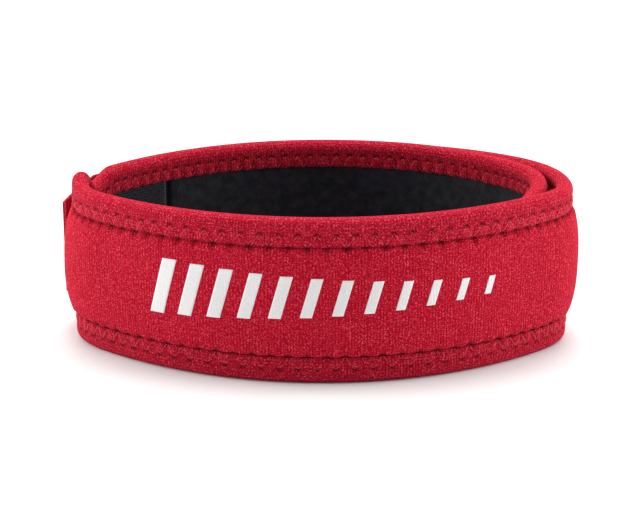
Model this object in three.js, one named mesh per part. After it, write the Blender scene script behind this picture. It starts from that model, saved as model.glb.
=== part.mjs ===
// A patella strap, closed and standing on its lower edge. A padded knit-faced band goes round
// the leg for about one turn and a half, so that its two ends lap at the back. It is lined inside,
// bound along both edges with folded tape, and held shut by a hook tab that reaches the left tip.
// Millimetres, +Z up, the front of the strap faces -Y, and the origin is under the middle of the loop.

import * as THREE from "three";

// Loop, seen from above and measured over the edge tape. A reach is from the crown line to a tip,
// and a setback is from the front crown to a tip.
const loopDepth = 80.5;
const rightReach = 70.5;
const leftReach = 71.3;
const rightSetback = 35.2;
const leftSetback = 38.5;
const frontRightRadius = 13.7;
const backRightRadius = 31;
const backLeftRadius = 8;
const frontLeftRadius = 19.8;
const bendBlend = 14;

// Band, through its thickness
const bandHeight = 46.4;
const tapeThickness = 0.7;
const pieceGap = 0.3;
const edgeFoam = 1.8;
const liningThickness = 0.7;
const bodyProud = 0.5;

// Edge tape, across its height
const tapeCover = 7.6;
const innerTapeCover = 7.9;
const restFlat = 0.35;
const grooveSlope = 1.3;

// Soft swelling of the padded body between the two tapes
const bodySwell = 0.35;
const leftTipSwell = 2.1;
const rightTipSwell = 1.7;
const tipSwellReach = 0.08;
const swellFullness = 2.6;
const leftTipLean = 1;
const rightTipLean = 0.1;

// Waves of the top edge at the pinched left tip. A rise is a share of the band's height.
const edgeWaves = [
  { turn: -0.247, reach: 0.024, rise: 0.04 },
  { turn: -0.273, reach: 0.022, rise: -0.065 },
];

// Lap at the back
const lapGap = 0.35;
const lapTurn = 0.33;
const lapReach = 0.1;
const innerLeaveTurn = -0.7;
const innerBendRadius = 20;
const innerBendAngle = 50;
const innerStraight = 7.7;
const innerEndSkew = 59.5;
const innerDrop = 1.6;
const innerDropLength = 20;

// Outer end, which narrows towards the tab
const outerEndTurn = 0.6;
const taperStartTurn = 0.26;
const taperEndTurn = 0.46;
const endTaper = 2.2;

// Lining seam at the left of the back
const seamTurn = -0.352;
const seamGap = 1.6;

// Hook tab and the hook patch under it
const tabInset = 1.6;
const tabThickness = 1.2;
const tabLap = 12;
const tabDescent = 16;
const tabEndTurn = 0.737;
const tabChamferLength = 10;
const tabChamferDrop = 5.5;
const tabLift = 0.5;
const patchThickness = 1;
const patchMargin = 2.5;

// Fineness of the faceted surfaces
const longestStep = 8.5;
const sharpestStep = 10;
const blendSamples = 9;
const foldSegments = 6;
const chordCount = 720;
const normalProbe = 0.0005;
const stationSearch = 0.001;

const wallThickness = edgeFoam + liningThickness + 2 * tapeThickness + 3 * pieceGap;
const layerPitch = wallThickness + bodyProud + bodySwell + lapGap;
const shellFace = -(tapeThickness + pieceGap);
const shellBack = shellFace - edgeFoam;
const liningFace = shellBack - pieceGap;
const liningBack = liningFace - liningThickness;
const foldRadius = wallThickness / 2;
const foldInnerRadius = foldRadius - tapeThickness;

// Smooth step from 0 at start to 1 at end.
function ramp(value, start, end) {
  return THREE.MathUtils.smoothstep(value, start, end);
}

// Smooth hump, 1 at centre and 0 at reach either side of it.
function hump(value, centre, reach) {
  return 1 - ramp(Math.abs(value - centre), 0, reach);
}

// Plan of the loop

// Quarters of the outline, anticlockwise from the front crown. side is 1 right or -1 left, end is
// -1 front or 1 back, and rise is how far the tip lies from that end's crown.
const quarters = [
  { side: 1, end: -1, reach: rightReach, rise: rightSetback, tipRadius: frontRightRadius },
  { side: 1, end: 1, reach: rightReach, rise: loopDepth - rightSetback, tipRadius: backRightRadius },
  { side: -1, end: 1, reach: leftReach, rise: loopDepth - leftSetback, tipRadius: backLeftRadius },
  { side: -1, end: -1, reach: leftReach, rise: leftSetback, tipRadius: frontLeftRadius },
];

// A point of a quarter, which is a long arc from the crown and then a part of the tip's round.
function quarterPoint({ side, end, reach, rise, tipRadius }, share) {
  const tipCentre = reach - tipRadius;
  const radius = (tipCentre ** 2 + rise ** 2 - tipRadius ** 2) / (2 * (rise - tipRadius));
  const sweep = Math.atan2(tipCentre, radius - rise);
  const arcLength = radius * sweep;
  const along = share * (arcLength + tipRadius * (Math.PI / 2 - sweep));
  const crown = end < 0 ? 0 : loopDepth;
  if (along < arcLength) {
    const angle = along / radius;
    return new THREE.Vector2(
      side * radius * Math.sin(angle),
      crown - end * radius * (1 - Math.cos(angle)),
    );
  }
  const angle = sweep + (along - arcLength) / tipRadius;
  return new THREE.Vector2(
    side * (tipCentre + tipRadius * Math.sin(angle)),
    crown - end * (rise - tipRadius * Math.cos(angle)),
  );
}

// The outline at a turn: 0 is the front's middle, 0.25 the right tip, 0.5 the back, 0.75 the left tip.
function outlinePoint(turn) {
  const place = quarters.length * (turn - Math.floor(turn));
  const count = Math.min(Math.floor(place), quarters.length - 1);
  const share = place - count;
  return quarterPoint(quarters[count], count % 2 ? 1 - share : share);
}

// Length of the outline, measured in short chords.
let perimeter = 0;
for (let i = 0; i < chordCount; i++) {
  perimeter += outlinePoint(i / chordCount).distanceTo(outlinePoint((i + 1) / chordCount));
}

// The outline with its changes of curvature eased, as foam bends.
function easedPoint(turn) {
  const window = bendBlend / perimeter;
  const sum = new THREE.Vector2();
  for (let i = 0; i < blendSamples; i++) {
    sum.add(outlinePoint(turn + window * (i / (blendSamples - 1) - 0.5)));
  }
  return sum.divideScalar(blendSamples);
}

// A point beside a curve of turns, and the curve's outward normal there.
function beside(curve, turn, offset) {
  const along = curve(turn + normalProbe).sub(curve(turn - normalProbe)).normalize();
  const normal = new THREE.Vector2(along.y, -along.x);
  return { turn, normal, point: curve(turn).addScaledVector(normal, offset) };
}

// How far outside the outline the band lies. Both laps move out by one layer as they go round the
// right of the back: the outer lap from the outline, and the inner lap onto it.
function lay(turn) {
  const outer = ramp(turn, lapTurn - lapReach, lapTurn + lapReach);
  const inner = ramp(turn + 1, lapTurn - lapReach, lapTurn + lapReach);
  return layerPitch * (outer + inner - 1);
}

function laidPoint(turn) {
  return beside(easedPoint, turn, lay(turn)).point;
}

// Stations along a curve of turns, close together only where it bends.
function stations(curve, fromTurn, toTurn, marks = []) {
  const kept = [beside(curve, fromTurn, 0)];
  const due = [...marks].sort((a, b) => a - b);
  const steps = Math.round((toTurn - fromTurn) / stationSearch);
  for (let i = 1; i < steps; i++) {
    const turn = fromTurn + i * stationSearch;
    const last = kept[kept.length - 1];
    const next = beside(curve, turn, 0);
    const bend = THREE.MathUtils.radToDeg(Math.acos(Math.min(1, last.normal.dot(next.normal))));
    const marked = due.length > 0 && turn >= due[0];
    if (marked) {
      due.shift();
      kept.push(next);
    } else if (bend > sharpestStep || next.point.distanceTo(last.point) > longestStep) {
      kept.push(next);
    }
  }
  kept.push(beside(curve, toTurn, 0));
  return kept;
}

const innerBendLength = THREE.MathUtils.degToRad(innerBendAngle) * innerBendRadius;
const innerEndTurn = innerLeaveTurn - (innerBendLength + innerStraight) / perimeter;

// The inner end leaves the outer lap in a bend of its own and ends in a straight stretch, which is
// cut on the skew beside the front wall.
function innerEnd() {
  const leave = beside(laidPoint, innerLeaveTurn, 0);
  const back = new THREE.Vector2(leave.normal.y, -leave.normal.x);
  const centre = leave.point.clone().addScaledVector(leave.normal, -innerBendRadius);
  const sweep = THREE.MathUtils.degToRad(innerBendAngle);
  const steps = Math.ceil(innerBendAngle / sharpestStep);
  const rows = [];
  for (let i = 1; i <= steps; i++) {
    const normal = leave.normal.clone().rotateAround(new THREE.Vector2(), (-sweep * i) / steps);
    const turn = innerLeaveTurn - (innerBendLength * i) / steps / perimeter;
    rows.push({ turn, normal, point: centre.clone().addScaledVector(normal, innerBendRadius) });
  }
  const bent = rows[rows.length - 1];
  const ahead = back.rotateAround(new THREE.Vector2(), -sweep);
  const skew = Math.tan(THREE.MathUtils.degToRad(innerEndSkew));
  rows.push({
    turn: innerEndTurn,
    normal: bent.normal.clone().addScaledVector(ahead, -skew),
    point: bent.point.clone().addScaledVector(ahead, innerStraight),
  });
  return rows.reverse();
}

const seamRightTurn = seamTurn - seamGap / 2 / perimeter;
const seamLeftTurn = seamTurn + seamGap / 2 / perimeter;
const innerEndRows = innerEnd();
const bandRows = [
  ...innerEndRows,
  ...stations(laidPoint, innerLeaveTurn, outerEndTurn, [seamRightTurn, seamLeftTurn]),
];

// Height and swelling along the band

// The band narrows towards its outer end, and its top edge drops over its inner end.
function bottomEdge(turn) {
  return endTaper * ramp(turn, taperStartTurn, taperEndTurn);
}

function topEdge(turn) {
  let high = bandHeight - bottomEdge(turn);
  for (const wave of edgeWaves) {
    high += bandHeight * wave.rise * hump(turn, wave.turn, wave.reach);
  }
  return high - innerDrop * ramp(innerEndTurn - turn, -innerDropLength / perimeter, 0);
}

// The body swells between the tapes, most at the two tips.
function swell(turn, height) {
  const across = THREE.MathUtils.clamp(
    (2 * height - bandHeight) / (bandHeight - 2 * tapeCover),
    -1,
    1,
  );
  const left = leftTipSwell * hump(turn, -0.25, tipSwellReach);
  const right = rightTipSwell * hump(turn, 0.25, tipSwellReach);
  return (bodySwell + left + right) * (1 - Math.abs(across) ** swellFullness);
}

// The tips lean, so that the loop is longest at its lower edge. Any lap follows what it lies on.
function lean(turn, height) {
  const left = hump(turn, -0.25, tipSwellReach) + hump(turn, 0.75, tipSwellReach);
  const right = hump(turn, 0.25, tipSwellReach);
  return (leftTipLean * left + rightTipLean * right) * (1 - height / bandHeight);
}

// Solids

// A closed solid through rings of [out, height] points, each ring standing at its own station.
function loft(rows, ringAt) {
  const rings = rows.map((row) => ringAt(row.turn));
  const size = rings[0].length;
  const positions = [];
  rows.forEach((row, i) => {
    for (const [out, height] of rings[i]) {
      const at = row.point.clone().addScaledVector(row.normal, out + lean(row.turn, height));
      positions.push(at.x, at.y, height);
    }
  });
  const index = [];
  for (let i = 0; i + 1 < rows.length; i++) {
    for (let j = 0; j < size; j++) {
      const a = i * size + j;
      const b = i * size + ((j + 1) % size);
      index.push(a, a + size, b + size, a, b + size, b);
    }
  }
  const cap = (ring) => THREE.ShapeUtils.triangulateShape(ring.map((p) => new THREE.Vector2(...p)), []);
  const last = (rows.length - 1) * size;
  for (const [a, b, c] of cap(rings[0])) index.push(a, b, c);
  for (const [a, b, c] of cap(rings[rings.length - 1])) index.push(last + a, last + c, last + b);
  const geometry = new THREE.BufferGeometry();
  geometry.setAttribute("position", new THREE.Float32BufferAttribute(positions, 3));
  geometry.setIndex(index);
  return geometry;
}

// Heights at which the padded body has its own points, as shares of the stretch between the tapes.
const bodyShares = [0, 0.22, 0.5, 0.78, 1];

// Red knit over foam: full in the body, and pressed thin under each tape.
function shellRing(turn) {
  const low = bottomEdge(turn);
  const high = topEdge(turn);
  const rimRadius = foldInnerRadius - pieceGap;
  const rim = (out) => Math.sqrt(Math.max(0, rimRadius ** 2 - (out + foldRadius) ** 2));
  const lowCentre = low + foldRadius - restFlat;
  const highCentre = high - foldRadius;
  const shoulder = (shellFace + shellBack) / 2;
  const ring = [
    [shellBack, lowCentre - rim(shellBack)],
    [shoulder, lowCentre - rim(shoulder)],
    [shellFace, lowCentre],
    [shellFace, low + tapeCover + pieceGap],
  ];
  const from = low + tapeCover + grooveSlope;
  const to = high - tapeCover - grooveSlope;
  for (const share of bodyShares) {
    const height = THREE.MathUtils.lerp(from, to, share);
    ring.push([bodyProud + swell(turn, height), height]);
  }
  ring.push(
    [shellFace, high - tapeCover - pieceGap],
    [shellFace, highCentre],
    [shoulder, highCentre + rim(shoulder)],
    [shellBack, highCentre + rim(shellBack)],
  );
  for (const share of bodyShares.slice(1, -1).reverse()) {
    const height = THREE.MathUtils.lerp(from, to, share);
    ring.push([shellBack + swell(turn, height), height]);
  }
  return ring;
}

// Thin black knit behind the foam.
function liningRing(turn) {
  const low = bottomEdge(turn) + foldRadius - restFlat;
  const high = topEdge(turn) - foldRadius;
  const ring = [[liningBack, low], [liningFace, low]];
  const shares = bodyShares.slice(1, -1);
  const level = (share) => THREE.MathUtils.lerp(low, high, share);
  for (const share of shares) ring.push([liningFace + swell(turn, level(share)), level(share)]);
  ring.push([liningFace, high], [liningBack, high]);
  for (const share of shares.reverse()) {
    ring.push([liningBack + swell(turn, level(share)), level(share)]);
  }
  return ring;
}

// Tape folded over an edge. way is 1 for the top edge and -1 for the bottom one, whose fold is
// pressed flat where the strap stands on it.
function tapeRing(turn, way) {
  const edge = way > 0 ? topEdge(turn) : bottomEdge(turn);
  const flat = way > 0 ? 0 : restFlat;
  const centre = edge - way * (foldRadius - flat);
  const arc = (radius, from, to) => {
    const points = [];
    for (let i = 0; i <= foldSegments; i++) {
      const angle = THREE.MathUtils.lerp(from, to, i / foldSegments);
      const reach = Math.min(radius * Math.sin(angle), radius - flat);
      points.push([-foldRadius + radius * Math.cos(angle), centre + way * reach]);
    }
    return points;
  };
  const ring = [
    [0, edge - way * tapeCover],
    ...arc(foldRadius, 0, Math.PI),
    [-wallThickness, edge - way * innerTapeCover],
    [-wallThickness + tapeThickness, edge - way * innerTapeCover],
    ...arc(foldInnerRadius, Math.PI, 0),
    [-tapeThickness, edge - way * tapeCover],
  ];
  return way > 0 ? ring : ring.reverse();
}

// Tab and patch lie on the inner lap's face at the left of the back.

const tabLandTurn = outerEndTurn + tabDescent / perimeter;
const tabStartTurn = outerEndTurn - tabLap / perimeter;
const tabChamferTurn = tabEndTurn - tabChamferLength / perimeter;
const lapFace = bodyProud + bodySwell + pieceGap;

// The tab starts sewn on the outer end, comes down onto the patch, and stands clear of the swelling
// of the left tip, since it is too stiff to follow that.
function tabPoint(turn) {
  const high = layerPitch + lapFace;
  const low = lapFace + patchThickness + pieceGap + swell(turn - 1, bandHeight / 2) - bodySwell;
  const offset = THREE.MathUtils.lerp(high, low, ramp(turn, outerEndTurn, tabLandTurn));
  const lift = tabLift * ramp(turn, tabChamferTurn, tabEndTurn);
  return beside(easedPoint, turn, offset + lift).point;
}

function patchPoint(turn) {
  return beside(easedPoint, turn, lapFace - bodySwell).point;
}

function tabRing(turn) {
  const free = THREE.MathUtils.clamp((turn - tabChamferTurn) / (tabEndTurn - tabChamferTurn), 0, 1);
  const low = bottomEdge(turn) + tabInset + tabChamferDrop * free;
  const high = bandHeight - low;
  return [[0, low], [tabThickness, low], [tabThickness, high], [0, high]];
}

// The patch follows the swelling of the lap under it.
function patchRing(turn) {
  const low = bottomEdge(turn) + tabInset + patchMargin;
  const levels = bodyShares.map((share) => THREE.MathUtils.lerp(low, bandHeight - low, share));
  const face = levels.map((height) => [patchThickness + swell(turn - 1, height), height]);
  const back = levels.map((height) => [swell(turn - 1, height), height]);
  return [...face, ...back.reverse()];
}

// Pieces

const redKnit = new THREE.MeshStandardMaterial({ color: 0xbe1230, roughness: 0.95, metalness: 0 });
const redTape = new THREE.MeshStandardMaterial({ color: 0xb5142f, roughness: 0.9, metalness: 0 });
const blackKnit = new THREE.MeshStandardMaterial({ color: 0x17181c, roughness: 0.97, metalness: 0 });
const redTab = new THREE.MeshStandardMaterial({ color: 0xa80f2b, roughness: 0.9, metalness: 0 });
const blackHook = new THREE.MeshStandardMaterial({ color: 0x141416, roughness: 0.85, metalness: 0 });

const strap = new THREE.Group();

function addPiece(name, geometry, material) {
  const mesh = new THREE.Mesh(geometry, material);
  mesh.name = name;
  strap.add(mesh);
}

const rearLiningRows = bandRows.filter((row) => row.turn <= seamRightTurn + stationSearch);
const frontLiningRows = bandRows.filter((row) => row.turn >= seamLeftTurn);

addPiece("strap_shell", loft(bandRows, shellRing), redKnit);
addPiece("front_lining", loft(frontLiningRows, liningRing), blackKnit);
addPiece("rear_lining", loft(rearLiningRows, liningRing), blackKnit);
addPiece("top_binding", loft(bandRows, (turn) => tapeRing(turn, 1)), redTape);
addPiece("bottom_binding", loft(bandRows, (turn) => tapeRing(turn, -1)), redTape);
addPiece(
  "hook_tab",
  loft(stations(tabPoint, tabStartTurn, tabEndTurn, [outerEndTurn, tabChamferTurn]), tabRing),
  redTab,
);
addPiece(
  "hook_patch",
  loft(stations(patchPoint, tabLandTurn + patchMargin / perimeter, tabChamferTurn), patchRing),
  blackHook,
);

// The origin goes under the middle of the whole.
const middle = new THREE.Box3().setFromObject(strap).getCenter(new THREE.Vector3());
strap.position.set(-middle.x, -middle.y, 0);

export default strap;
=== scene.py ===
"""The looks of the patella strap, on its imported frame. Lengths are in millimetres until place()
turns them into metres. A place on the band is (along, out, height): along it from the front's
middle, out from the edge tape's face, and up from the floor."""

import math
from functools import partial

import bpy
import numpy as np
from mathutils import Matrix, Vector


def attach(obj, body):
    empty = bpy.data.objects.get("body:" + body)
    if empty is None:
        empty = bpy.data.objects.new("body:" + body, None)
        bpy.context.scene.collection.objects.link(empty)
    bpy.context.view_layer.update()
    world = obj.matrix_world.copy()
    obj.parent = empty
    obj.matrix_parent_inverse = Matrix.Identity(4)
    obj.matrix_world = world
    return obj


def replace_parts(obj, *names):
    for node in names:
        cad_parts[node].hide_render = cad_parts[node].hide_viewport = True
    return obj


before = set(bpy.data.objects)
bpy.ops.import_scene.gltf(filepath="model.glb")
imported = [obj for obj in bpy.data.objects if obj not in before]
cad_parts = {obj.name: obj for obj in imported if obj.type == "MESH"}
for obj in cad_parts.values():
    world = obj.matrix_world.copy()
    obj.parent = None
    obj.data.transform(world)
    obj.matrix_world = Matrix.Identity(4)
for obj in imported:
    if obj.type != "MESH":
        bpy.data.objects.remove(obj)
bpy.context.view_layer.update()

MM = 0.001

# Where the front's middle lies in the part's frame
FRONT_MIDDLE = (1.438, -43.26)

# Loop, band and lap, as in the part's source
LOOP_DEPTH = 80.5
RIGHT_REACH, LEFT_REACH = 70.5, 71.3
RIGHT_SETBACK, LEFT_SETBACK = 35.2, 38.5
FRONT_RIGHT_RADIUS, BACK_RIGHT_RADIUS = 13.7, 31
BACK_LEFT_RADIUS, FRONT_LEFT_RADIUS = 8, 19.8
BEND_BLEND = 14
BAND_HEIGHT = 46.4
TAPE_THICKNESS, PIECE_GAP, EDGE_FOAM, LINING_THICKNESS = 0.7, 0.3, 1.8, 0.7
BODY_PROUD = 0.5
TAPE_COVER, INNER_TAPE_COVER = 7.6, 7.9
REST_FLAT = 0.35
BODY_SWELL, LEFT_TIP_SWELL, RIGHT_TIP_SWELL = 0.35, 2.1, 1.7
TIP_SWELL_REACH, SWELL_FULLNESS = 0.08, 2.6
LEFT_TIP_LEAN, RIGHT_TIP_LEAN = 1, 0.1
EDGE_WAVES = [(-0.247, 0.024, 0.04), (-0.273, 0.022, -0.065)]
LAP_GAP, LAP_TURN, LAP_REACH = 0.35, 0.33, 0.1
INNER_LEAVE_TURN, INNER_BEND_RADIUS, INNER_BEND_ANGLE = -0.7, 20, 50
INNER_STRAIGHT, INNER_END_SKEW = 7.7, 59.5
INNER_DROP, INNER_DROP_LENGTH = 1.6, 20
OUTER_END_TURN, TAPER_START_TURN, TAPER_END_TURN, END_TAPER = 0.6, 0.26, 0.46, 2.2
SEAM_TURN, SEAM_GAP = -0.352, 1.6
TAB_INSET, TAB_THICKNESS, TAB_LAP, TAB_DESCENT, TAB_END_TURN = 1.6, 1.2, 12, 16, 0.737
TAB_CHAMFER_LENGTH, TAB_CHAMFER_DROP, TAB_LIFT = 10, 5.5, 0.5
PATCH_THICKNESS, PATCH_MARGIN = 1, 2.5

WALL = EDGE_FOAM + LINING_THICKNESS + 2 * TAPE_THICKNESS + 3 * PIECE_GAP
LAYER_PITCH = WALL + BODY_PROUD + BODY_SWELL + LAP_GAP
SHELL_FACE = -(TAPE_THICKNESS + PIECE_GAP)
SHELL_BACK = SHELL_FACE - EDGE_FOAM
LINING_FACE = SHELL_BACK - PIECE_GAP
LINING_BACK = LINING_FACE - LINING_THICKNESS
FOLD_RADIUS = WALL / 2
FOLD_INNER_RADIUS = FOLD_RADIUS - TAPE_THICKNESS
LAP_FACE = BODY_PROUD + BODY_SWELL + PIECE_GAP

# Zigzag stitches along both tapes: their pitch by distance along the band, closest round the tips,
# and the rows in which the holes lie, down from the edge
FIRST_HOLE = 3.5
PITCHES = [
    (-235, 3.6),
    (-215, 4.4),
    (-150, 4.2),
    (-105, 3.7),
    (-77, 3.3),
    (-48, 4.3),
    (-34, 5.05),
    (32, 5.05),
    (48, 4.3),
    (77, 3.1),
    (100, 4.2),
]
HOLE_DEPTH, HOLE_LENGTH, HOLE_HEIGHT = 0.5, 0.85, 0.5
FOOT_WIDTH, FOOT_CHANGE, FOOT_RHYTHM = 1, 0.3, 2.7

# The two faces of a tape: how far down its holes and its cut edge are, how much it puckers between
# the stitches, how far up its feet pull it in, how deep the valley along its holes is, and how much
# painted shade lies over the whole face
OUTER_FACE = (4.1, TAPE_COVER, 0.2, 0.9, 0, 0)
INNER_FACE = (4.3, INNER_TAPE_COVER, 0.3, 1.4, 0.2, 0.3)
PUCKER_WIDTH, VALLEY_WIDTH, TAPE_LIP = 1.6, 1, 0.1

# How far the cut edge of a tape is tucked in and how much painted shade lies along it, and what the
# feet add to both
EDGE_TUCK, FOOT_TUCK = 0.15, 0.35
EDGE_SHADE, FOOT_SHADE = 0.25, 0.75

# Threads, how far they stand out of the tape's two faces, and how far below it their feet are
THREAD_RADIUS, OUTER_PROUD, INNER_PROUD, FOOT_BELOW = 0.12, 0.12, 0.02, 0.1
THREAD_FACES = ((1, OUTER_FACE, OUTER_PROUD), (-1, INNER_FACE, INNER_PROUD))

# A leg of a zigzag: how far below its hole it starts, how deep its two ends lie, the skew and
# fullness of its rise between them, and a thread's width at its ends
HOLE_BELOW, HOLE_SUNK, FOOT_SUNK = 0.1, 0.35, 0.45
LIFT_SKEW, LIFT_FULLNESS, THREAD_TAPER = 0.75, 0.6, 0.5

# Grooves along the tapes, where the stitches pull them into the body: their width and depth, and how
# much is added to both at the feet; then how sharp they are, and how much painted shade lies in them
GROOVE_WIDTH, FOOT_GROOVE = 0.4, 0.75
GROOVE_DEPTH, FOOT_DEPTH = 0.35, 0.5
GROOVE_SHARPNESS, GROOVE_SHADE = 1.5, 0.35

# Slow unevenness of the body: its height, the lengths and heights of its waves, and the share and
# shift of the quick ones
DRIFT, DRIFT_LENGTHS, DRIFT_HEIGHTS = 0.1, (9.1, 37, 4.3), (11, 6.1)
DRIFT_QUICK, DRIFT_SHIFT = 0.6, 0.7

# Fullness of the lining, and how far from its seam it is full and pale
LINING_PUFF, LINING_FULLNESS = 0.3, 6
LINING_FULL_FROM, LINING_PALE_TO = 2, 1

# Hook tab: its rounded edges, and the rows of straight stitches that hold it, from its sewn end
TAB_CORNER = 0.45
TAB_SEAMS, TAB_STITCH, TAB_PITCH, TAB_SEAM_MARGIN = (2, 9), 2.2, 3, 3

# Light print: a row of slanted bars, over the height and length of the mark on the real strap
PRINT_START, PRINT_PITCH, PRINT_HEIGHT = -44, 8.2, 25
BAR_COUNT, BAR_SLANT = 12, 0.28
BAR_TALLEST, BAR_SHORTEST, BAR_WIDEST, BAR_NARROWEST = 16, 5, 4.2, 2
INK_PROUD, INK_SUNK = 0.05, 0.1

# Knit: pitches of its rows both ways, how deep the crease along a row is, how far rows wander, and the
# pitch and height of the ribs along the tape
WALE, COURSE, CREASE, KNIT_WANDER = 0.845, 0.62, 0.3, 0.35
TAPE_RIB, RIB_HEIGHT = 0.9, 0.28

# Colours. RED_SHADE is painted shade for grooves, holes and tape edges; the lightest reds of the knit
# and of the thread are painted glints
RED_SHEEN, SHEEN_TINT, RED_SHADE = 0.12, (1, 0.25, 0.31), (0.09, 0.0005, 0.002)
SHEEN_ROUGHNESS, CLOTH_SPECULAR, WHITE = 0.45, 0.08, (1, 1, 1)
RED_DARK, RED_PLAIN, RED_PAINTED_GLINT = (0.29, 0.001, 0.015), (0.68, 0.002, 0.026), (1, 0.11, 0.15)
TAPE_PLAIN, TAB_PLAIN = (0.54, 0.003, 0.026), (0.5, 0.003, 0.026)
THREAD_DARK, THREAD_PAINTED_GLINT = (0.55, 0.015, 0.035), (0.95, 0.13, 0.17)
LINING_DARK, LINING_LIGHT = (0.006, 0.006, 0.008), (0.025, 0.025, 0.029)
LINING_EDGE, RIBBED_TINT, BRUSHED_TINT = (0.06, 0.062, 0.07), (0.8, 0.85, 1), (0.8, 0.82, 0.9)
HOOK_DARK, HOOK_LIGHT = (0.01, 0.01, 0.011), (0.05, 0.05, 0.054)
FOAM_DARK, FOAM_LIGHT = (0.008, 0.008, 0.009), (0.035, 0.035, 0.038)
INK_PLAIN, INK_WORN = (0.86, 0.86, 0.86), (0.62, 0.6, 0.6)
FLOOR_DARK, FLOOR_LIGHT = (0.81, 0.81, 0.81), (0.83, 0.83, 0.83)

# Fineness of the lines in plan
OUTLINE_CHORDS, BLEND_SAMPLES, TURN_STEP = 720, 25, 0.0002
ARC_POINTS, END_SPARE = 200, 1

# Fineness of the cloth meshes
STEP, LINING_STEP, TAPE_ROW = 0.5, 0.8, 0.4
SKEW_STATIONS, ROLL_ROWS, BODY_ROWS, LINING_ROWS, TAB_ROWS = 12, 17, 40, 30, 24
FOLD_BACK_ROWS, CORNER_POINTS = 9, 4
SEAM_ROWS = np.array([0, 0.15, 0.3, 0.45, 0.65, 0.9, 1.2, 1.6, 2.1])
BACK_SHARES = (0.8, 0.6, 0.4, 0.2)
THREAD_SIDES, THREAD_POINTS = 6, 7
BAR_GRID = (9, 25)

# Camera, as the picture was taken, and the studio
IMAGE_WIDTH, FOCAL_PIXELS, SENSOR_WIDTH = 640, 1497.3, 36
NEAREST_SEEN, FARTHEST_SEEN = 0.01, 10
AIM = (0.558, -5.79, 22.5)
CAMERA_ELEVATION, CAMERA_DISTANCE = 20, 430
FLOOR_REACH, WORLD_STRENGTH = 3, 0.15
SKY_LIGHT, SKY_ANGLE, SKY_PLACE = 3.8, 50, (0, 0.3, 1)
LIGHTS = [
    ("left", (-0.65, 0, 0.3), 0.4, 4),
    ("right", (0.65, 0, 0.3), 0.4, 4),
]


def smooth(value, start, end):
    t = np.clip((value - start) / (end - start), 0, 1)
    return t * t * (3 - 2 * t)


def hump(value, centre, reach):
    return 1 - smooth(np.abs(value - centre), 0, reach)


def bell(value, width):
    return np.exp(-((value / width) ** 2))


# Plan of the loop: side, end, reach, rise and tip radius of each quarter, anticlockwise
QUARTERS = [
    (1, -1, RIGHT_REACH, RIGHT_SETBACK, FRONT_RIGHT_RADIUS),
    (1, 1, RIGHT_REACH, LOOP_DEPTH - RIGHT_SETBACK, BACK_RIGHT_RADIUS),
    (-1, 1, LEFT_REACH, LOOP_DEPTH - LEFT_SETBACK, BACK_LEFT_RADIUS),
    (-1, -1, LEFT_REACH, LEFT_SETBACK, FRONT_LEFT_RADIUS),
]


def quarter_points(quarter, share):
    side, end, reach, rise, tip = quarter
    tip_centre = reach - tip
    radius = (tip_centre**2 + rise**2 - tip**2) / (2 * (rise - tip))
    sweep = math.atan2(tip_centre, radius - rise)
    arc = radius * sweep
    along = share * (arc + tip * (math.pi / 2 - sweep))
    crown = 0 if end < 0 else LOOP_DEPTH
    a = along / radius
    b = sweep + (along - arc) / tip
    x = np.where(along < arc, radius * np.sin(a), tip_centre + tip * np.sin(b))
    y = np.where(along < arc, radius * (1 - np.cos(a)), rise - tip * np.cos(b))
    return np.stack([side * x, crown - end * y], -1)


def outline(turn):
    place = len(QUARTERS) * (turn % 1)
    count = np.minimum(place.astype(int), len(QUARTERS) - 1)
    share = place - count
    share = np.where(count % 2 == 1, 1 - share, share)
    points = np.zeros(turn.shape + (2,))
    for k, quarter in enumerate(QUARTERS):
        points[count == k] = quarter_points(quarter, share[count == k])
    return points


def length_of(points):
    return np.linalg.norm(np.diff(points, axis=0), axis=1).sum()


PERIMETER = length_of(outline(np.linspace(0, 1, OUTLINE_CHORDS + 1)))


def eased(turn):
    window = BEND_BLEND / PERIMETER
    shifts = np.linspace(-0.5, 0.5, BLEND_SAMPLES) * window
    return sum(outline(turn + shift) for shift in shifts) / BLEND_SAMPLES


def normals_of(points):
    ahead = np.gradient(points, axis=0)
    normals = np.stack([ahead[:, 1], -ahead[:, 0]], -1)
    return normals / np.linalg.norm(normals, axis=1)[:, None]


def lay(turn):
    outer = smooth(turn, LAP_TURN - LAP_REACH, LAP_TURN + LAP_REACH)
    inner = smooth(turn + 1, LAP_TURN - LAP_REACH, LAP_TURN + LAP_REACH)
    return LAYER_PITCH * (outer + inner - 1)


class Line:
    """A line in plan, with its points, outward normals and turns by distance along it."""

    def __init__(self, points, turns, zero_turn=None):
        steps = np.linalg.norm(np.diff(points, axis=0), axis=1)
        self.along = np.concatenate([[0], np.cumsum(steps)])
        self.points, self.normals, self.turns = points, normals_of(points), turns
        if zero_turn is not None:
            self.along -= self.at_turn(zero_turn)

    def at_turn(self, turn):
        return float(np.interp(turn, self.turns, self.along))

    def turn(self, along):
        return np.interp(along, self.along, self.turns)

    def place(self, along, out, height):
        """Points in the part's frame, in metres."""
        along, out, height = np.broadcast_arrays(along, out, height)
        shift = out + lean(self.turn(along), height)
        plan = [
            FRONT_MIDDLE[k]
            + np.interp(along, self.along, self.points[:, k])
            + shift * np.interp(along, self.along, self.normals[:, k])
            for k in (0, 1)
        ]
        return np.stack([*plan, height], -1) * MM


turns = np.arange(INNER_LEAVE_TURN, OUTER_END_TURN + TURN_STEP / 2, TURN_STEP)
centre_line = eased(turns)
centre_line += normals_of(centre_line) * lay(turns)[:, None]


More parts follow.
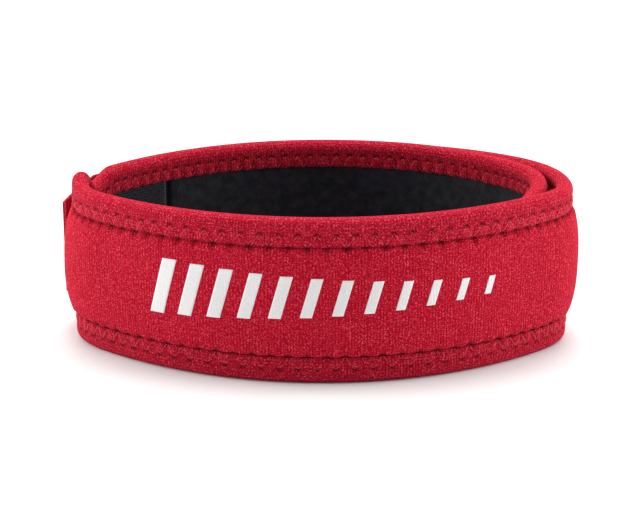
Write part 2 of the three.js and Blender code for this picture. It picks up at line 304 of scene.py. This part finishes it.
def inner_end():
    """Points of the bend and the straight with which the inner lap leaves the outer one, from
    its end on."""
    leave, normal = centre_line[0], normals_of(centre_line[:3])[0]
    centre = leave - normal * INNER_BEND_RADIUS
    angles = np.radians(np.linspace(0, INNER_BEND_ANGLE, ARC_POINTS))
    bent = np.stack(
        [
            normal[0] * np.cos(angles) + normal[1] * np.sin(angles),
            -normal[0] * np.sin(angles) + normal[1] * np.cos(angles),
        ],
        -1,
    )
    arc = centre + bent * INNER_BEND_RADIUS
    last = bent[-1]
    ahead = np.array([last[1], -last[0]])
    reach = INNER_STRAIGHT + WALL * math.tan(math.radians(INNER_END_SKEW)) + END_SPARE
    run = np.linspace(0, reach, ARC_POINTS)[1:]
    straight = arc[-1] + run[:, None] * ahead
    gone = np.concatenate([angles[1:] * INNER_BEND_RADIUS, BEND_LENGTH + run])
    points = np.concatenate([arc[1:], straight])
    return points[::-1], INNER_LEAVE_TURN - gone[::-1] / PERIMETER


BEND_LENGTH = math.radians(INNER_BEND_ANGLE) * INNER_BEND_RADIUS
INNER_END_TURN = INNER_LEAVE_TURN - (BEND_LENGTH + INNER_STRAIGHT) / PERIMETER
end_points, end_turns = inner_end()
band = Line(
    np.concatenate([end_points, centre_line]), np.concatenate([end_turns, turns]), zero_turn=0
)
LEAVE = band.along[len(end_points)]
STRAIGHT_START = LEAVE - BEND_LENGTH
INNER_END = STRAIGHT_START - INNER_STRAIGHT
OUTER_END = band.at_turn(OUTER_END_TURN)


def bottom_edge(turn):
    return END_TAPER * smooth(turn, TAPER_START_TURN, TAPER_END_TURN)


def top_edge(turn):
    high = BAND_HEIGHT - bottom_edge(turn)
    for at, reach, rise in EDGE_WAVES:
        high = high + BAND_HEIGHT * rise * hump(turn, at, reach)
    return high - INNER_DROP * (1 - smooth(turn - INNER_END_TURN, 0, INNER_DROP_LENGTH / PERIMETER))


def swell(turn, height):
    across = np.clip((2 * height - BAND_HEIGHT) / (BAND_HEIGHT - 2 * TAPE_COVER), -1, 1)
    left = LEFT_TIP_SWELL * hump(turn, -0.25, TIP_SWELL_REACH)
    right = RIGHT_TIP_SWELL * hump(turn, 0.25, TIP_SWELL_REACH)
    return (BODY_SWELL + left + right) * (1 - np.abs(across) ** SWELL_FULLNESS)


def lean(turn, height):
    left = hump(turn, -0.25, TIP_SWELL_REACH) + hump(turn, 0.75, TIP_SWELL_REACH)
    right = hump(turn, 0.25, TIP_SWELL_REACH)
    return (LEFT_TIP_LEAN * left + RIGHT_TIP_LEAN * right) * (1 - height / BAND_HEIGHT)


LINING_LEFT = band.at_turn(SEAM_TURN) + SEAM_GAP / 2
LINING_RIGHT = band.at_turn(SEAM_TURN) - SEAM_GAP / 2

# Stitch places


def hole_places():
    """Where the needle went through, worked outwards from the hole beside the front's middle."""
    at, pitch = zip(*PITCHES)
    places = [FIRST_HOLE]
    while places[-1] < OUTER_END:
        places.append(places[-1] + float(np.interp(places[-1], at, pitch)))
    while places[0] > INNER_END:
        places.insert(0, places[0] - float(np.interp(places[0], at, pitch)))
    return np.array(places[1:-1])


holes = hole_places()
feet = (holes[1:] + holes[:-1]) / 2


def nearest(places, along):
    """Distance to the nearest place, and which one it is."""
    after = np.clip(np.searchsorted(places, along), 1, len(places) - 1)
    before_nearer = along - places[after - 1] < places[after] - along
    which = np.where(before_nearer, after - 1, after)
    return np.abs(along - places[which]), which


def foot_pull(along):
    """How far the stitches pull the cloth in, most at the feet, and not the same at each."""
    away, which = nearest(feet, along)
    return bell(away, FOOT_WIDTH) * (1 - FOOT_CHANGE * (0.5 + 0.5 * np.sin(FOOT_RHYTHM * which)))


def drift(along, height):
    """Slow unevenness of the padded body."""
    first, slant, quick = DRIFT_LENGTHS
    tall, low = DRIFT_HEIGHTS
    slow = np.sin(along / first + DRIFT_SHIFT) * np.sin(height / tall + along / slant)
    return DRIFT * (slow + DRIFT_QUICK * np.sin(along / quick + height / low))


def body_face(along, height):
    return BODY_PROUD + swell(band.turn(along), height) + drift(along, height)


# Meshes


def add_mesh(name, points, faces, uvs, material, recess=None):
    """A mesh that rides on the part. uvs holds a pair in metres for each corner of each face."""
    mesh = bpy.data.meshes.new(name)
    mesh.from_pydata(points.reshape(-1, 3).tolist(), [], faces)
    mesh.polygons.foreach_set("use_smooth", np.ones(len(faces), bool))
    layer = mesh.uv_layers.new(name="cloth")
    layer.uv.foreach_set("vector", np.asarray(uvs, np.float32).ravel())
    if recess is not None:
        shade = mesh.attributes.new("recess", "FLOAT", "POINT")
        shade.data.foreach_set("value", recess.astype(np.float32).ravel())
    mesh.materials.append(material)
    obj = bpy.data.objects.new(name, mesh)
    bpy.context.scene.collection.objects.link(obj)
    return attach(obj, "root")


def ring_of(rows, along):
    """Out, height and recess of a ring from its rows, a column for each."""
    return [
        np.concatenate([np.broadcast_to(value, along.shape) for value in column], axis=1)
        for column in zip(*rows)
    ]


def loft(name, line, along, ring, material, inside=None, inside_rows=0, skew=False):
    """A closed body through rings, one for each place along a line. Its ends and the last rows of
    its rings are made of what is inside."""
    out, height, recess = ring(along[:, None])
    rows, size = out.shape
    at = np.broadcast_to(along[:, None], out.shape)
    if skew:
        share = np.clip((STRAIGHT_START - at) / INNER_STRAIGHT, 0, 1)
        at = at + out * math.tan(math.radians(INNER_END_SKEW)) * share
    points = line.place(at, out, height)
    middle = rows // 2
    girth = np.hypot(
        np.diff(out[middle], append=out[middle, 0]),
        np.diff(height[middle], append=height[middle, 0]),
    )
    v = np.concatenate([[0], np.cumsum(girth)])
    i, j = np.divmod(np.arange((rows - 1) * size), size)
    k = (j + 1) % size
    near, far = i * size, (i + 1) * size
    faces = np.stack([near + j, far + j, far + k, near + k], -1).tolist()
    u = np.stack([at[i, j], at[i + 1, j], at[i + 1, k], at[i, k]], -1)
    w = np.stack([v[j], v[j], v[j + 1], v[j + 1]], -1)
    uvs = (np.stack([u, w], -1).reshape(-1, 2) * MM).tolist()
    ends = [np.arange(size), (rows - 1) * size + np.arange(size)[::-1]]
    for end in ends:
        faces.append(end.tolist())
        uvs.extend((np.stack([out.ravel()[end], height.ravel()[end]], -1) * MM).tolist())
    obj = add_mesh(name, points, faces, uvs, material, recess)
    if inside:
        obj.data.materials.append(inside)
        hidden = np.append(j >= size - inside_rows, [True, True])
        obj.data.polygons.foreach_set("material_index", hidden.astype(np.int32))
    for face in obj.data.polygons[-len(ends) :]:
        face.use_smooth = False
    return obj


def stations(start, end, step=STEP):
    return np.linspace(start, end, max(2, round((end - start) / step) + 1))


def band_stations(end=OUTER_END, step=STEP):
    """Places along the band, with more of them over its skewed inner end."""
    skewed = np.linspace(INNER_END, STRAIGHT_START, SKEW_STATIONS)[:-1]
    return np.concatenate([skewed, stations(STRAIGHT_START, end, step)])


def body_ring(along):
    """Knit over foam: full in the body, pulled into a groove at each tape, thin under the tapes."""
    turn = band.turn(along)
    low, high = bottom_edge(turn), top_edge(turn)
    rim_radius = FOLD_INNER_RADIUS - PIECE_GAP
    shoulder = (SHELL_FACE + SHELL_BACK) / 2
    pull = foot_pull(along)
    width = GROOVE_WIDTH + FOOT_GROOVE * pull
    low_centre, high_centre = low + FOLD_RADIUS - REST_FLAT, high - FOLD_RADIUS

    def rim(out):
        return math.sqrt(max(0, rim_radius**2 - (out + FOLD_RADIUS) ** 2))

    def groove(height, away):
        fall = np.exp(-((away / width) ** GROOVE_SHARPNESS))
        face = body_face(along, height)
        out = face - (face + GROOVE_DEPTH + FOOT_DEPTH * pull) * fall
        # painted shade in the groove, more of it at the feet
        return out, height, fall * (GROOVE_SHADE + (1 - GROOVE_SHADE) * pull)

    rims = [(SHELL_BACK, rim(SHELL_BACK)), (shoulder, rim(shoulder)), (SHELL_FACE, 0)]
    rows = [(out, low_centre - rise, 1) for out, rise in rims]
    rows.append((SHELL_FACE, low + TAPE_COVER - PIECE_GAP, 1))
    rows += [groove(low + TAPE_COVER + away, away) for away in SEAM_ROWS]
    first = low + TAPE_COVER + SEAM_ROWS[-1]
    last = high - TAPE_COVER - SEAM_ROWS[-1]
    for share in np.linspace(0, 1, BODY_ROWS)[1:-1]:
        height = first + (last - first) * share
        rows.append((body_face(along, height), height, 0))
    rows += [groove(high - TAPE_COVER - away, away) for away in SEAM_ROWS[::-1]]
    rows.append((SHELL_FACE, high - TAPE_COVER + PIECE_GAP, 1))
    rows += [(out, high_centre + rise, 1) for out, rise in rims[::-1]]
    for share in BACK_SHARES:
        height = low + (high - low) * share
        rows.append((SHELL_BACK + swell(turn, height), height, 1))
    return ring_of(rows, along)


def lining_ring(along):
    """Thin knit behind the foam, which stands a little proud between the tapes."""
    turn = band.turn(along)
    low, high = bottom_edge(turn) + FOLD_RADIUS - REST_FLAT, top_edge(turn) - FOLD_RADIUS
    end = nearest(np.array([LINING_RIGHT, LINING_LEFT]), along)[0]
    rows = [(LINING_FACE, low, 0)]
    for share in np.linspace(0, 1, LINING_ROWS)[1:-1]:
        height = low + (high - low) * share
        rows.append((LINING_FACE + swell(turn, height), height, 0))
    rows.append((LINING_FACE, high, 0))
    for share in np.linspace(1, 0, LINING_ROWS):
        height = low + (high - low) * share
        inside = 1 - abs(2 * share - 1) ** LINING_FULLNESS
        puff = LINING_PUFF * inside * smooth(end, 0, LINING_FULL_FROM)
        pale = 1 - smooth(end, 0, LINING_PALE_TO)
        rows.append((LINING_BACK - puff + swell(turn, height), height, pale))
    return ring_of(rows, along)


def tape_ring(along, way):
    """Tape folded over an edge. way is 1 for the top edge and -1 for the bottom one."""
    turn = band.turn(along)
    edge = top_edge(turn) if way > 0 else bottom_edge(turn)
    flat = 0 if way > 0 else REST_FLAT
    centre = edge - way * (FOLD_RADIUS - flat)
    to_hole, pull = nearest(holes, along)[0], foot_pull(along)

    def dent_and_shade(down, row, cover, pucker, reach, valley, shade):
        """How far the stitches pull a face in at a distance down from the edge, and its painted shade:
        darker in the holes, along the cut edge and at the feet, and over the whole inner face.
        """
        spot = bell(to_hole, HOLE_LENGTH) * bell(down - row, HOLE_HEIGHT)
        puff = pucker * bell(down - (row + cover) / 2, PUCKER_WIDTH) * (1 - 2 * pull)
        tuck = bell(down - cover, reach) * (EDGE_TUCK + FOOT_TUCK * pull)
        dark = shade + spot + bell(down - cover, reach / 2) * (EDGE_SHADE + FOOT_SHADE * pull)
        dent = HOLE_DEPTH * spot + valley * bell(down - row, VALLEY_WIDTH) + tuck - puff
        return dent, np.clip(dark, 0, 1)

    def face(down, side):
        dent, recess = dent_and_shade(down, *(OUTER_FACE if side > 0 else INNER_FACE))
        return -dent if side > 0 else -WALL + dent, edge - way * down, recess

    def arc(radius, start, end, count, recess=0):
        made = []
        for angle in np.linspace(start, end, count):
            reach = min(radius * math.sin(angle), radius - flat)
            made.append((-FOLD_RADIUS + radius * math.cos(angle), centre + way * reach, recess))
        return made

    def flat_rows(cover):
        """Distances down from the edge, from the fold to the cut edge."""
        return np.linspace(FOLD_RADIUS + TAPE_ROW, cover, round((cover - FOLD_RADIUS) / TAPE_ROW))

    rows = [face(down, 1) for down in flat_rows(TAPE_COVER)[::-1]]
    rows += arc(FOLD_RADIUS, 0, math.pi, ROLL_ROWS)
    rows += [face(down, -1) for down in flat_rows(INNER_TAPE_COVER)]
    rows.append((-WALL + TAPE_THICKNESS, edge - way * INNER_TAPE_COVER, 1))
    rows += arc(FOLD_INNER_RADIUS, math.pi, 0, FOLD_BACK_ROWS, 1)
    rows.append((-TAPE_THICKNESS - TAPE_LIP, edge - way * TAPE_COVER, 1))
    return ring_of(rows if way > 0 else rows[::-1], along)


def tubes(name, paths, radius, material):
    """One mesh of short closed threads, each along its own row of points."""
    count, length = paths.shape[:2]
    ahead = np.gradient(paths, axis=1)
    ahead /= np.linalg.norm(ahead, axis=2)[..., None]
    side = np.cross(ahead, [0, 0, 1])
    side /= np.maximum(np.linalg.norm(side, axis=2), 1e-9)[..., None]
    up = np.cross(side, ahead)
    angles = np.arange(THREAD_SIDES) * 2 * math.pi / THREAD_SIDES
    taper = np.ones(length)
    taper[[0, -1]] = THREAD_TAPER
    around = np.cos(angles)[:, None] * side[..., None, :]
    around = around + np.sin(angles)[:, None] * up[..., None, :]
    points = paths[..., None, :] + around * (radius * MM * taper)[:, None, None]
    size = length * THREAD_SIDES
    i, j = np.divmod(np.arange((length - 1) * THREAD_SIDES), THREAD_SIDES)
    k = (j + 1) % THREAD_SIDES
    a, b = i * THREAD_SIDES, (i + 1) * THREAD_SIDES
    quads = np.stack([a + j, a + k, b + k, b + j], -1)
    faces, uvs = [], []
    steps = np.linalg.norm(np.diff(paths, axis=1), axis=2)
    run = np.concatenate([np.zeros((count, 1)), np.cumsum(steps, axis=1)], axis=1)
    turn_of = radius * MM * 2 * math.pi / THREAD_SIDES
    ring = np.arange(THREAD_SIDES)
    for n in range(count):
        faces.extend((quads + n * size).tolist())
        u = np.stack([run[n, i], run[n, i], run[n, i + 1], run[n, i + 1]], -1)
        v = np.stack([j, j + 1, j + 1, j], -1) * turn_of
        uvs.append(np.stack([u, v], -1).reshape(-1, 2))
        for end in (ring[::-1], (length - 1) * THREAD_SIDES + ring):
            faces.append((end + n * size).tolist())
            uvs.append(np.zeros((THREAD_SIDES, 2)))
    return add_mesh(name, points, faces, np.concatenate(uvs), material)


def zigzag_paths(way):
    """Legs from each hole to the feet beside it, on both faces of a tape."""
    paths = []
    share = np.linspace(0, 1, THREAD_POINTS)
    lift = np.sin(math.pi * share**LIFT_SKEW) ** LIFT_FULLNESS
    for at in holes[1:-1]:
        after = np.searchsorted(feet, at)
        for foot in feet[after - 1 : after + 1]:
            along = at + (foot - at) * share
            turn = band.turn(along)
            edge = top_edge(turn) if way > 0 else bottom_edge(turn)
            for side, (row, cover, *_), proud in THREAD_FACES:
                down = row + HOLE_BELOW + (cover + FOOT_BELOW - row) * share
                rise = (HOLE_SUNK + proud) * lift - HOLE_SUNK - FOOT_SUNK * share**2
                out = rise if side > 0 else -WALL - rise
                paths.append(band.place(along, out, edge - way * down))
    return np.array(paths)


def rounded(low, high, thickness, corner, rows_across):
    """Out and height round a flat section with rounded edges."""
    angles = np.linspace(0, math.pi / 2, CORNER_POINTS)
    corners = (
        (corner, low + corner, math.pi),
        (thickness - corner, low + corner, 1.5 * math.pi),
        (thickness - corner, high - corner, 0),
        (corner, high - corner, 0.5 * math.pi),
    )
    made = []
    for n, (out, height, start) in enumerate(corners):
        for a in start + angles:
            made.append((out + corner * math.cos(a), height + corner * np.sin(a)))
        if n in (1, 3):
            up = np.linspace(0, 1, rows_across)[1:-1][:: 1 if n == 1 else -1]
            side = thickness if n == 1 else 0
            made += [(side, low + corner + (high - low - 2 * corner) * share) for share in up]
    return made


tab_turns = np.arange(OUTER_END_TURN - TAB_LAP / PERIMETER, TAB_END_TURN, TURN_STEP)
tab_land_turn = OUTER_END_TURN + TAB_DESCENT / PERIMETER
tab_chamfer_turn = TAB_END_TURN - TAB_CHAMFER_LENGTH / PERIMETER


def tab_line():
    """The tab comes down from the outer end onto the patch, and stands clear of the left tip's
    swelling."""
    high = LAYER_PITCH + LAP_FACE
    swelling = swell(tab_turns - 1, BAND_HEIGHT / 2) - BODY_SWELL
    low = LAP_FACE + PATCH_THICKNESS + PIECE_GAP + swelling
    off = high + (low - high) * smooth(tab_turns, OUTER_END_TURN, tab_land_turn)
    off += TAB_LIFT * smooth(tab_turns, tab_chamfer_turn, TAB_END_TURN)
    middle = eased(tab_turns)
    return Line(middle + normals_of(middle) * off[:, None], tab_turns)


def patch_line():
    middle = eased(tab_turns)
    return Line(middle + normals_of(middle) * (LAP_FACE - BODY_SWELL), tab_turns)


def tab_ring(along):
    turn = tab.turn(along)
    free = np.clip((turn - tab_chamfer_turn) / (TAB_END_TURN - tab_chamfer_turn), 0, 1)
    low = bottom_edge(turn) + TAB_INSET + TAB_CHAMFER_DROP * free
    rows = rounded(low, BAND_HEIGHT - low, TAB_THICKNESS, TAB_CORNER, TAB_ROWS)
    return ring_of([(out, height, 0) for out, height in rows], along)


def tab_stitch_paths():
    """Straight stitches across the sewn end of the tab, half sunk in its face."""
    share = np.linspace(0, 1, THREAD_POINTS)
    edge = TAB_INSET + END_TAPER + TAB_SEAM_MARGIN
    paths = []
    for along in TAB_SEAMS:
        for height in np.arange(edge, BAND_HEIGHT - edge - TAB_STITCH, TAB_PITCH):
            out = TAB_THICKNESS + THREAD_RADIUS * (2 * np.sin(math.pi * share) - 1)
            paths.append(tab.place(tab.along[0] + along, out, height + TAB_STITCH * share))
    return np.array(paths)


def patch_ring(along):
    turn = patch.turn(along)
    low = bottom_edge(turn) + TAB_INSET + PATCH_MARGIN
    rows = rounded(low, BAND_HEIGHT - low, PATCH_THICKNESS, TAB_CORNER / 2, TAB_ROWS)
    return ring_of([(out + swell(turn - 1, height), height, 0) for out, height in rows], along)


def print_bars():
    """A row of slanted bars that shrink along the front, in light ink on the knit."""
    points, faces, uvs = [], [], []
    a, b = BAR_GRID
    i, j = (x.ravel() for x in np.meshgrid(np.arange(a - 1), np.arange(b - 1), indexing="ij"))
    front = np.stack([i * b + j, (i + 1) * b + j, (i + 1) * b + j + 1, i * b + j + 1], -1)
    rim = [n * b for n in range(a)] + [(a - 1) * b + n for n in range(1, b)]
    rim += [n * b + b - 1 for n in range(a - 2, -1, -1)] + list(range(b - 2, 0, -1))
    for n in range(BAR_COUNT):
        share = n / (BAR_COUNT - 1)
        tall = BAR_TALLEST + (BAR_SHORTEST - BAR_TALLEST) * share
        wide = BAR_WIDEST + (BAR_NARROWEST - BAR_WIDEST) * share
        up = np.linspace(-tall / 2, tall / 2, b)[None, :]
        across = wide * np.linspace(-0.5, 0.5, a)[:, None]
        along = PRINT_START + PRINT_PITCH * n + across + BAR_SLANT * up
        height = np.broadcast_to(PRINT_HEIGHT + up, along.shape)
        face = body_face(along, height)
        base = len(points) * a * b
        for out in (face + INK_PROUD, face - INK_SUNK):
            points.append(band.place(along, out, height).reshape(-1, 3))
        back = base + a * b
        made = [(front + base).tolist(), (front[:, ::-1] + back).tolist()]
        next_rim = rim[1:] + rim[:1]
        sides = [[p + back, q + back, q + base, p + base] for p, q in zip(rim, next_rim)]
        flat = np.stack([along.ravel(), height.ravel()], -1) * MM
        for group in (*made, sides):
            faces.extend(group)
            uvs.extend(flat[(np.array(group) - base) % (a * b)].reshape(-1, 2))
    return add_mesh("front_print", np.concatenate(points), faces, np.array(uvs), ink)


# Materials


class Nodes:
    """A new material and short ways to add nodes to it."""

    def __init__(self, name, roughness, sheen=0.0, tint=WHITE, specular=CLOTH_SPECULAR):
        self.material = bpy.data.materials.new(name)
        self.material.use_nodes = True
        self.tree = self.material.node_tree
        self.shader = self.tree.nodes["Principled BSDF"]
        self.shader.inputs["Roughness"].default_value = roughness
        self.shader.inputs["Specular IOR Level"].default_value = specular
        self.shader.inputs["Sheen Weight"].default_value = sheen
        self.shader.inputs["Sheen Roughness"].default_value = SHEEN_ROUGHNESS
        self.shader.inputs["Sheen Tint"].default_value = (*tint, 1)
        uv = self.add("ShaderNodeUVMap", uv_map="cloth").outputs[0]
        parts = self.add("ShaderNodeSeparateXYZ", uv)
        self.u, self.v = (self.math("DIVIDE", parts.outputs[k], MM) for k in (0, 1))
        self.place = self.add("ShaderNodeTexCoord").outputs["Object"]

    def feed(self, socket, value):
        if isinstance(value, bpy.types.NodeSocket):
            self.tree.links.new(value, socket)
        else:
            socket.default_value = value

    def add(self, kind, *values, **settings):
        node = self.tree.nodes.new(kind)
        for key, value in settings.items():
            setattr(node, key, value)
        for socket, value in zip(node.inputs, values):
            self.feed(socket, value)
        return node

    def math(self, operation, *values):
        return self.add("ShaderNodeMath", *values, operation=operation).outputs[0]

    def wave(self, value, pitch, shift=0.0):
        """From 0 to 1 and back, once in each pitch."""
        turn = self.math("MULTIPLY_ADD", value, 2 * math.pi / pitch, shift)
        return self.math("MULTIPLY_ADD", self.math("COSINE", turn), 0.5, 0.5)

    def noise(self, size, detail=2.0, stretch=None):
        """Noise in space whose features are about size millimetres."""
        node = self.add("ShaderNodeTexNoise")
        at = self.place
        if stretch:
            at = self.add("ShaderNodeCombineXYZ", *stretch).outputs[0]
            self.feed(node.inputs["Scale"], 1 / size)
        else:
            self.feed(node.inputs["Scale"], 1 / (size * MM))
        self.feed(node.inputs["Vector"], at)
        self.feed(node.inputs["Detail"], detail)
        return node.outputs["Fac"]

    def range(self, value, low, high, first=0.0, last=1.0):
        return self.add("ShaderNodeMapRange", value, low, high, first, last).outputs[0]

    def mix(self, share, first, second):
        node = self.add("ShaderNodeMix", data_type="RGBA")
        for slot, value in ((0, share), (6, first), (7, second)):
            self.feed(node.inputs[slot], (*value, 1) if isinstance(value, tuple) else value)
        return node.outputs[2]

    def recess(self):
        return self.add("ShaderNodeAttribute", attribute_name="recess").outputs["Fac"]

    def finish(self, colour, height, depth):
        bump = self.add("ShaderNodeBump")
        self.feed(bump.inputs["Strength"], 1.0)
        self.feed(bump.inputs["Distance"], depth * MM)
        self.feed(bump.inputs["Height"], height)
        self.feed(self.shader.inputs["Normal"], bump.outputs[0])
        self.feed(self.shader.inputs["Base Color"], colour)
        return self.material


def knit_height(n):
    """Rows of V stitches: how high the yarn stands, from 0 between the rows to 1 on the crowns."""
    across = n.math("MULTIPLY_ADD", n.noise(2.5, 2), KNIT_WANDER, n.u)
    up = n.math("MULTIPLY_ADD", n.noise(1.5, 2), KNIT_WANDER, n.v)
    wale = n.math("FRACT", n.math("DIVIDE", across, WALE))
    side = n.math("ABSOLUTE", n.math("SUBTRACT", wale, 0.5))
    dome = n.math("SUBTRACT", 1.0, n.math("POWER", n.math("MULTIPLY", side, 2.0), 2.5))
    crease = n.range(side, 0, 0.16, CREASE, 0)
    course = n.wave(n.math("MULTIPLY_ADD", side, WALE, up), COURSE)
    loops = n.math("MULTIPLY", dome, n.math("MULTIPLY_ADD", course, 0.5, 0.5))
    return n.math("SUBTRACT", loops, crease)


def knit_material(name, dark, plain, light, roughness, rib=0.0):
    n = Nodes(name, roughness, RED_SHEEN, SHEEN_TINT)
    yarn = knit_height(n)
    if rib:
        ribs = n.wave(n.v, TAPE_RIB)
        yarn = n.math("MULTIPLY_ADD", ribs, rib, n.math("MULTIPLY", yarn, 1 - rib))
    fuzz = n.noise(0.4, 2)
    patches = n.noise(7, 2)
    # Painted shade: darker where the yarn lies low between the rows, and in pits of the fuzz
    colour = n.mix(n.range(yarn, 0, 0.9), dark, plain)
    colour = n.mix(n.range(fuzz, 0.3, 0.45, 0.6, 0), colour, dark)
    # Painted glints: the fuzz's tips over the yarn's crowns are mixed toward a pale pinkish red
    tips, crowns = n.range(fuzz, 0.52, 0.66, 0, 0.8), n.range(yarn, 0.1, 0.7, 0.3, 1)
    colour = n.mix(n.math("MULTIPLY", tips, crowns), colour, light)
    colour = n.mix(n.range(patches, 0.35, 0.7, 0, 0.12), colour, dark)
    # Painted shade from the recess attribute: seam grooves, needle holes, tape edges and the inner
    # tape face
    colour = n.mix(n.math("MULTIPLY", n.recess(), 0.9), colour, RED_SHADE)
    height = n.math("ADD", yarn, n.math("MULTIPLY", fuzz, 0.6))
    return n.finish(colour, height, 0.2)


def ribbed_lining(name):
    n = Nodes(name, 0.9, 0.25, RIBBED_TINT)
    streak = n.wave(n.v, 0.9)
    rough = n.noise(0.5, 3, (n.math("MULTIPLY", n.u, 0.35), n.v, 0.0))
    colour = n.mix(n.range(rough, 0.35, 0.7), LINING_DARK, LINING_LIGHT)
    colour = n.mix(n.math("MULTIPLY", n.recess(), 0.3), colour, LINING_EDGE)
    height = n.math("ADD", n.math("MULTIPLY", streak, 0.5), rough)
    return n.finish(colour, height, 0.25)


def brushed_lining(name):
    n = Nodes(name, 0.95, 0.3, BRUSHED_TINT)
    pile = n.noise(0.7, 4)
    tufts = n.noise(2.6, 3)
    colour = n.mix(n.range(tufts, 0.25, 0.85), LINING_DARK, LINING_LIGHT)
    height = n.math("ADD", n.math("MULTIPLY", tufts, 0.5), n.math("MULTIPLY", pile, 0.6))
    return n.finish(colour, height, 0.4)


def thread_material(name):
    n = Nodes(name, 0.6, RED_SHEEN, SHEEN_TINT, specular=0.25)
    twist = n.wave(n.math("ADD", n.u, n.v), 0.35)
    # The twist's crests are painted with a pale pink glint
    return n.finish(n.mix(twist, THREAD_DARK, THREAD_PAINTED_GLINT), twist, 0.05)


def hook_material(name):
    n = Nodes(name, 0.6, specular=0.4)
    hooks = n.math("MULTIPLY", n.wave(n.u, 0.8), n.wave(n.v, 0.8))
    return n.finish(n.mix(hooks, HOOK_DARK, HOOK_LIGHT), hooks, 0.4)


def foam_material(name):
    n = Nodes(name, 0.95)
    cells = n.noise(0.4, 4)
    return n.finish(n.mix(cells, FOAM_DARK, FOAM_LIGHT), cells, 0.2)


def ink_material(name):
    n = Nodes(name, 0.7)
    yarn = knit_height(n)
    fuzz = n.noise(0.35, 3)
    colour = n.mix(n.range(fuzz, 0.45, 0.8, 0, 0.5), INK_PLAIN, INK_WORN)
    return n.finish(colour, n.math("ADD", yarn, n.math("MULTIPLY", fuzz, 0.5)), 0.07)


def floor_material(name):
    n = Nodes(name, 0.9)
    grain = n.noise(30, 4)
    return n.finish(n.mix(grain, FLOOR_DARK, FLOOR_LIGHT), grain, 0.01)


red_knit = knit_material("red_knit", RED_DARK, RED_PLAIN, RED_PAINTED_GLINT, 0.92)
red_tape = knit_material("red_tape", RED_DARK, TAPE_PLAIN, RED_PAINTED_GLINT, 0.88, RIB_HEIGHT)
red_tab = knit_material("red_tab", RED_DARK, TAB_PLAIN, RED_PAINTED_GLINT, 0.92)
ribbed = ribbed_lining("ribbed_lining")
brushed = brushed_lining("brushed_lining")
thread = thread_material("red_thread")
hook = hook_material("hook_tape")
foam = foam_material("foam")
ink = ink_material("light_ink")

# Pieces

tab, patch = tab_line(), patch_line()


def dress(obj, material_slot, *nodes):
    """Hides the solids that a piece stands in for. Its material_slot is not used."""
    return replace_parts(obj, *nodes) if nodes else obj


knit_band = loft(
    "knit_band",
    band,
    band_stations(),
    body_ring,
    red_knit,
    inside=foam,
    inside_rows=len(BACK_SHARES) + 1,
    skew=True,
)
dress(knit_band, "red_knit", "strap_shell")
front_places = stations(LINING_LEFT, OUTER_END, LINING_STEP)
front_lining = loft("front_lining_cloth", band, front_places, lining_ring, ribbed)
dress(front_lining, "black_lining", "front_lining")
rear_places = band_stations(LINING_RIGHT, LINING_STEP)
rear_lining = loft("rear_lining_cloth", band, rear_places, lining_ring, brushed, skew=True)
dress(rear_lining, "black_lining", "rear_lining")
for label, way in (("top", 1), ("bottom", -1)):
    ring = partial(tape_ring, way=way)
    tape = loft(f"{label}_tape", band, band_stations(), ring, red_tape, skew=True)
    dress(tape, "red_tape", f"{label}_binding")
    dress(tubes(f"{label}_zigzag", zigzag_paths(way), THREAD_RADIUS, thread), "red_tape")
tab_cloth = loft("tab_cloth", tab, stations(tab.along[0], tab.along[-1]), tab_ring, red_tab)
dress(tab_cloth, "red_tab", "hook_tab")
dress(tubes("tab_stitches", tab_stitch_paths(), THREAD_RADIUS, thread), "red_tab")
patch_start = patch.at_turn(tab_land_turn) + PATCH_MARGIN
patch_places = stations(patch_start, patch.at_turn(tab_chamfer_turn))
patch_hooks = loft("patch_hooks", patch, patch_places, patch_ring, hook)
dress(patch_hooks, "black_hook", "hook_patch")
dress(print_bars(), "red_knit")

# Floor, lights and camera


def add_floor():
    mesh = bpy.data.meshes.new("floor")
    corners = ((-1, -1), (1, -1), (1, 1), (-1, 1))
    points = [(x * FLOOR_REACH, y * FLOOR_REACH, 0) for x, y in corners]
    mesh.from_pydata(points, [], [(0, 1, 2, 3)])
    mesh.uv_layers.new(name="cloth")
    mesh.materials.append(floor_material("floor"))
    obj = bpy.data.objects.new("floor", mesh)
    bpy.context.scene.collection.objects.link(obj)


def add_light(name, kind, place, power):
    """A light that faces the strap."""
    light = bpy.data.lights.new(name, kind)
    light.energy = power
    obj = bpy.data.objects.new(name, light)
    obj.location = place
    obj.rotation_mode = "QUATERNION"
    obj.rotation_quaternion = (Vector(AIM) * MM - Vector(place)).to_track_quat("-Z", "Y")
    bpy.context.scene.collection.objects.link(obj)
    return light


def add_camera():
    camera = bpy.data.cameras.new("camera")
    camera.sensor_width, camera.lens = SENSOR_WIDTH, SENSOR_WIDTH * FOCAL_PIXELS / IMAGE_WIDTH
    camera.clip_start, camera.clip_end = NEAREST_SEEN, FARTHEST_SEEN
    obj = bpy.data.objects.new("camera", camera)
    angle = math.radians(CAMERA_ELEVATION)
    back = Vector((0, -math.cos(angle), math.sin(angle)))
    obj.location = (Vector(AIM) + back * CAMERA_DISTANCE) * MM
    obj.rotation_mode = "QUATERNION"
    obj.rotation_quaternion = (-back).to_track_quat("-Z", "Y")
    bpy.context.scene.collection.objects.link(obj)
    bpy.context.scene.camera = obj


add_floor()
for name, place, size, power in LIGHTS:
    add_light(name, "AREA", place, power).size = size
add_light("sky", "SUN", SKY_PLACE, SKY_LIGHT).angle = math.radians(SKY_ANGLE)
add_camera()
world = bpy.data.worlds.new("studio")
world.use_nodes = True
world.node_tree.nodes["Background"].inputs["Color"].default_value = (1, 1, 1, 1)
world.node_tree.nodes["Background"].inputs["Strength"].default_value = WORLD_STRENGTH
bpy.context.scene.world = world
bpy.context.scene.view_settings.view_transform = "Standard"
